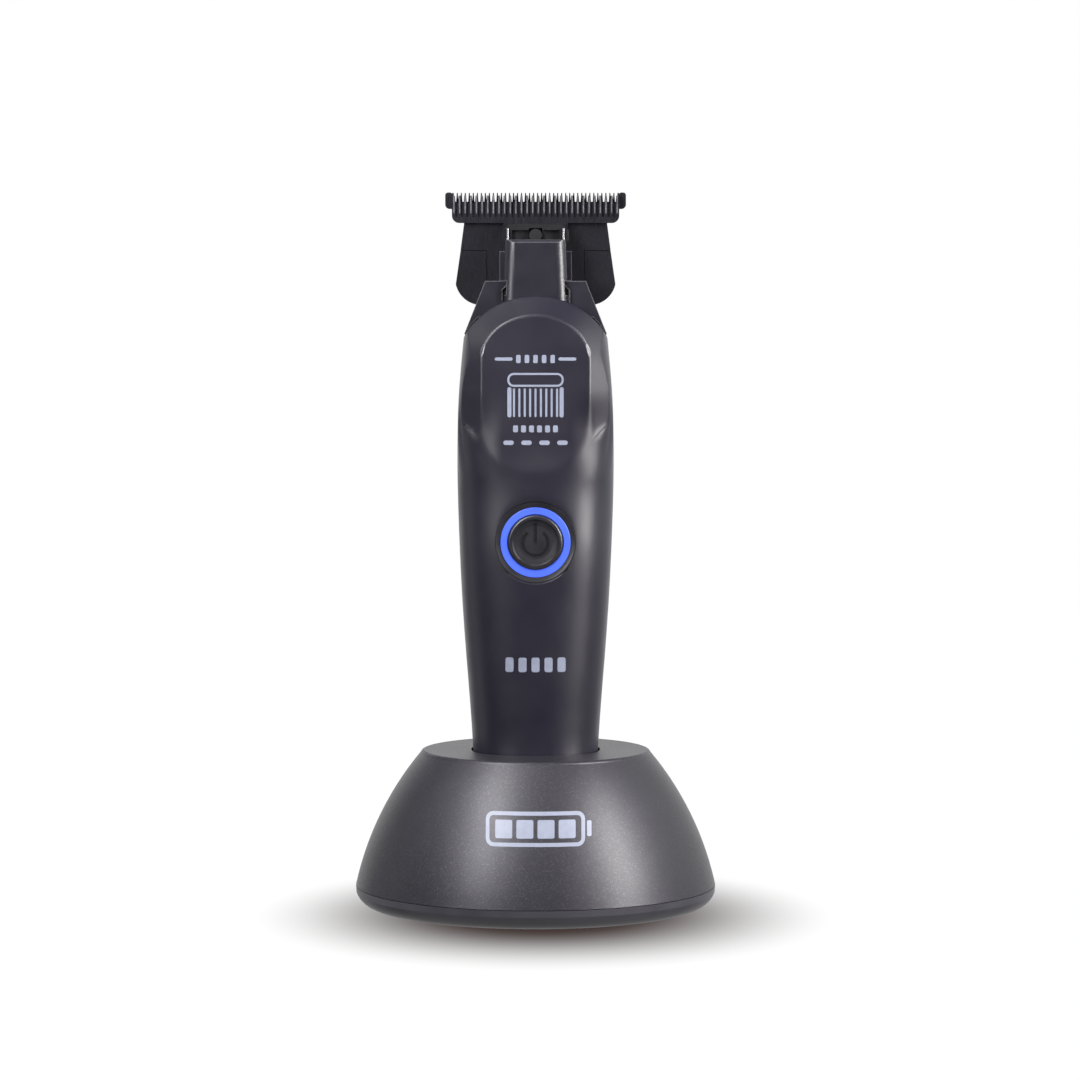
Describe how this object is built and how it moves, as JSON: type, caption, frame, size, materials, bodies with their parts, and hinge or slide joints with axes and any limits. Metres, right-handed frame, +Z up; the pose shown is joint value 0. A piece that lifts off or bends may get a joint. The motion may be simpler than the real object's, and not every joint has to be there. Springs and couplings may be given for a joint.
{
  "type": "hair clipper",
  "caption": "Cordless T-blade hair clipper with a lit power button, standing upright in a round weighted charging dock.",
  "frame": {"origin": "centre of the dock's foot, on the surface that it stands on", "axes": "+Z up along the clipper, the power button and the cutter face -Y, +X to the right seen from the front"},
  "size_m": [0.09, 0.09, 0.1783],
  "materials": {
    "dock_plastic": "charcoal satin paint with fine metallic fleck",
    "dock_base_plastic": "smooth dark grey plastic",
    "dock_rubber": "matte black rubber",
    "housing_plastic": "near-black soft satin",
    "neck_plastic": "black moulded plastic, satin",
    "button_plastic": "black satin with engraved power mark",
    "light_guide": "blue-lit diffuser",
    "carrier_plastic": "black acetal",
    "black_steel": "black-coated blade steel",
    "steel": "bright steel",
    "spring_steel": "polished spring wire",
    "motor_metal": "plated motor steel",
    "copper": "enamelled copper wire",
    "contact_gold": "gold-plated contact",
    "magnet": "sintered magnet",
    "circuit_green": "green solder mask",
    "chip_black": "moulded chip packages",
    "led_body": "led package",
    "cell_wrap": "shrink-wrapped cell",
    "nickel": "nickel strip",
    "inner_plastic": "natural dark grey plastic",
    "wire_sleeve": "silicone sleeve"
  },
  "bodies": {
    "dock": {"dock_shell": "dock_plastic", "dock_base_plate": "dock_base_plastic", "dock_foot_ring": "dock_rubber", "dock_screws": "steel", "dock_ballast": "steel", "dock_well_cup": "inner_plastic", "dock_circuit_board": "circuit_green", "dock_board_chips": "chip_black", "contact_block": "inner_plastic", "dock_usb_inlet": "steel", "contact_spring_left": "spring_steel", "contact_spring_right": "spring_steel"},
    "clipper": {"front_housing": "housing_plastic", "rear_housing": "housing_plastic", "end_cap": "housing_plastic", "charge_contacts": "contact_gold", "end_cap_screws": "steel", "housing_screws": "steel", "button_bezel": "button_plastic", "light_ring": "light_guide", "tact_switch": "chip_black", "ring_leds": "led_body", "head_frame": "neck_plastic", "lever_pivot_pin": "steel", "neck_cover": "neck_plastic", "blade_spring": "spring_steel", "fixed_blade": "black_steel", "blade_skirt": "black_steel", "blade_screws": "steel", "motor_can": "motor_metal", "motor_end_bell": "motor_metal", "motor_screws": "steel", "motor_bearings": "steel", "motor_stator": "motor_metal", "stator_windings": "copper", "battery_cell": "cell_wrap", "battery_tabs": "nickel", "inner_chassis": "inner_plastic", "main_circuit_board": "circuit_green", "board_chips": "chip_black", "battery_leads": "wire_sleeve", "motor_leads": "wire_sleeve"},
    "left_contact": {"contact_pin_left": "contact_gold"},
    "right_contact": {"contact_pin_right": "contact_gold"},
    "button": {"power_button": "button_plastic", "switch_plunger": "inner_plastic"},
    "lever": {"drive_lever": "inner_plastic"},
    "cutter": {"cutter_blade": "black_steel", "cutter_carrier": "carrier_plastic"},
    "rotor": {"rotor_magnet": "magnet", "motor_shaft": "steel", "eccentric_crank": "steel"}
  },
  "joints": [
    {"name": "clipper_lift", "type": "slide", "parent": "dock", "child": "clipper", "axis": [0, 0, 1], "range_m": [0, 0.06]},
    {"name": "button_press", "type": "slide", "parent": "clipper", "child": "button", "axis": [0, 1, 0], "range_m": [0, 0.0006], "stiffness_N_per_m": 1200, "springref_m": -0.0005},
    {"name": "lever_swing", "type": "hinge", "parent": "clipper", "child": "lever", "pos_m": [0, 0, 0.1536], "axis": [0, 1, 0], "range_deg": [-4.8, 4.8]},
    {"name": "cutter_slide", "type": "slide", "parent": "clipper", "child": "cutter", "axis": [1, 0, 0], "range_m": [-0.00117, 0.00117]},
    {"name": "rotor_spin", "type": "hinge", "parent": "clipper", "child": "rotor", "pos_m": [0, -0.0015, 0.101], "axis": [0, 0, 1], "continuous": true},
    {"name": "left_contact_press", "type": "slide", "parent": "dock", "child": "left_contact", "axis": [0, 0, 1], "range_m": [-0.001, 0], "stiffness_N_per_m": 400, "springref_m": 0.001, "deforming": ["contact_spring_left"]},
    {"name": "right_contact_press", "type": "slide", "parent": "dock", "child": "right_contact", "axis": [0, 0, 1], "range_m": [-0.001, 0], "stiffness_N_per_m": 400, "springref_m": 0.001, "deforming": ["contact_spring_right"]}
  ],
  "couplings": [
    {"joint": "lever_swing", "follows": "cutter_slide", "rad_per_m": 71.429}
  ]
}
